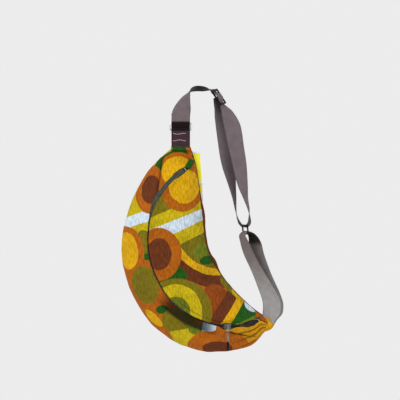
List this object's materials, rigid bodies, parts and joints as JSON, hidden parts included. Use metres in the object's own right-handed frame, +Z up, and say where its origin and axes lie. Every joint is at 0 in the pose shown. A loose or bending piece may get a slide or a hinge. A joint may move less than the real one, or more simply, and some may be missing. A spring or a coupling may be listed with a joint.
{
  "type": "waist pack",
  "caption": "Crescent waist pack in printed cotton with a curved front zip and a webbing strap, hung up by its strap.",
  "frame": {"origin": "on the outer face of the flat back panel, at half the bag's height", "axes": "+Z up as hung by the strap, +Y out of the back panel, the front and its zip face -Y"},
  "size_m": [0.3332, 0.0817, 0.5437],
  "materials": {
    "printed_cotton": "printed crinkled cotton",
    "green_cotton": "matt",
    "brown_cotton": "matt",
    "aubergine_webbing": "matt ribbed",
    "pink_thread": "matt",
    "taupe_webbing": "matt ribbed",
    "grey_webbing": "matt ribbed",
    "plain_lining": "smooth",
    "zip_tape": "matt",
    "zip_metal": "satin",
    "chrome": "polished",
    "black_plastic": "satin",
    "black_wire": "satin",
    "tag_card": "smooth"
  },
  "bodies": {
    "bag": {"back_panel": "printed_cotton", "front_panel": "printed_cotton", "side_panel": "printed_cotton", "lining": "plain_lining", "edge_binding": "brown_cotton", "zip_tape_inner": "zip_tape", "zip_tape_outer": "zip_tape", "zip_teeth_inner": "zip_metal", "zip_teeth_outer": "zip_metal", "zip_stop_top": "zip_metal", "zip_stop_end": "zip_metal", "zip_end_tab": "green_cotton", "top_cap": "green_cotton", "end_cap": "printed_cotton"},
    "slider": {"slider_body": "zip_metal", "slider_crown": "zip_metal"},
    "link": {"pull_link": "zip_metal"},
    "pull": {"pull_bar": "zip_metal", "pull_tip": "black_plastic"},
    "strap": {"strap": "taupe_webbing", "strap_stitch": "black_plastic", "ring_tab": "aubergine_webbing", "tab_stitch_1": "pink_thread", "tab_stitch_2": "pink_thread", "end_loop": "grey_webbing"},
    "chrome_ring": {"strap_ring": "chrome"},
    "lower_ring": {"wire_ring": "black_wire"},
    "glide": {"glide": "black_plastic"},
    "tag": {"swing_tag": "tag_card", "tag_pin": "tag_card"}
  },
  "joints": [
    {"name": "zip_slide", "type": "hinge", "parent": "bag", "child": "slider", "pos_m": [0.142, -0.028, 0.013], "axis": [-0.2174, 0.9703, -0.1061], "range_deg": [-16, 142]},
    {"name": "link_swing", "type": "hinge", "parent": "slider", "child": "link", "pos_m": [0.13981, -0.05491, -0.15704], "axis": [-0.9758, -0.2136, 0.0464], "range_deg": [-3, 75]},
    {"name": "pull_swing", "type": "hinge", "parent": "link", "child": "pull", "pos_m": [0.13981, -0.05491, -0.16544], "axis": [0, 1, 0], "range_deg": [-60, 60]},
    {"name": "strap_swing", "type": "hinge", "parent": "bag", "child": "strap", "pos_m": [0.044, -0.016, 0.24], "axis": [0.4415, 0, -0.8972], "range_deg": [-45, 45]},
    {"name": "ring_tilt", "type": "hinge", "parent": "strap", "child": "chrome_ring", "pos_m": [0.044, -0.016, 0.2554], "axis": [1, 0, 0], "range_deg": [-7, 7]},
    {"name": "wire_ring_turn", "type": "hinge", "parent": "strap", "child": "lower_ring", "pos_m": [0.1755, -0.016, 0.046], "axis": [-0.2, 0.9798, 0], "range_deg": [-5, 5]},
    {"name": "glide_slide", "type": "slide", "parent": "strap", "child": "glide", "axis": [0.5427, 0.0075, -0.8399], "range_m": [-0.0025, 0.0025]},
    {"name": "tag_swing", "type": "hinge", "parent": "bag", "child": "tag", "pos_m": [0.089, 0.0065, 0.131], "axis": [0, 1, 0], "range_deg": [-25, 25]}
  ]
}
